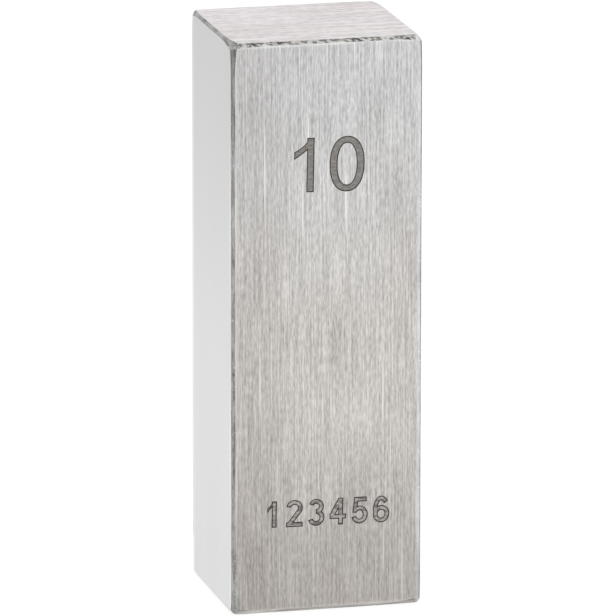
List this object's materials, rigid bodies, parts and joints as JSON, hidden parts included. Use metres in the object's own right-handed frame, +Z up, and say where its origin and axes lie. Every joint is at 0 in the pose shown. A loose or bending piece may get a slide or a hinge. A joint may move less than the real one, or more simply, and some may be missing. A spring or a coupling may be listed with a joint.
{
  "type": "gauge block",
  "caption": "Upright rectangular steel gauge block with lapped measuring faces, stoned edges and engraved plain figures on its ground front face.",
  "frame": {"origin": "centre of the bottom end face, which the block stands on", "axes": "+Z up along the 30 mm side, X square to the two measuring faces, -Y out of the marked front face"},
  "size_m": [0.01, 0.009, 0.03],
  "materials": {
    "gauge_steel": "ground sides, lapped measuring faces"
  },
  "bodies": {
    "root": {"gauge_block": "gauge_steel"}
  },
  "joints": []
}
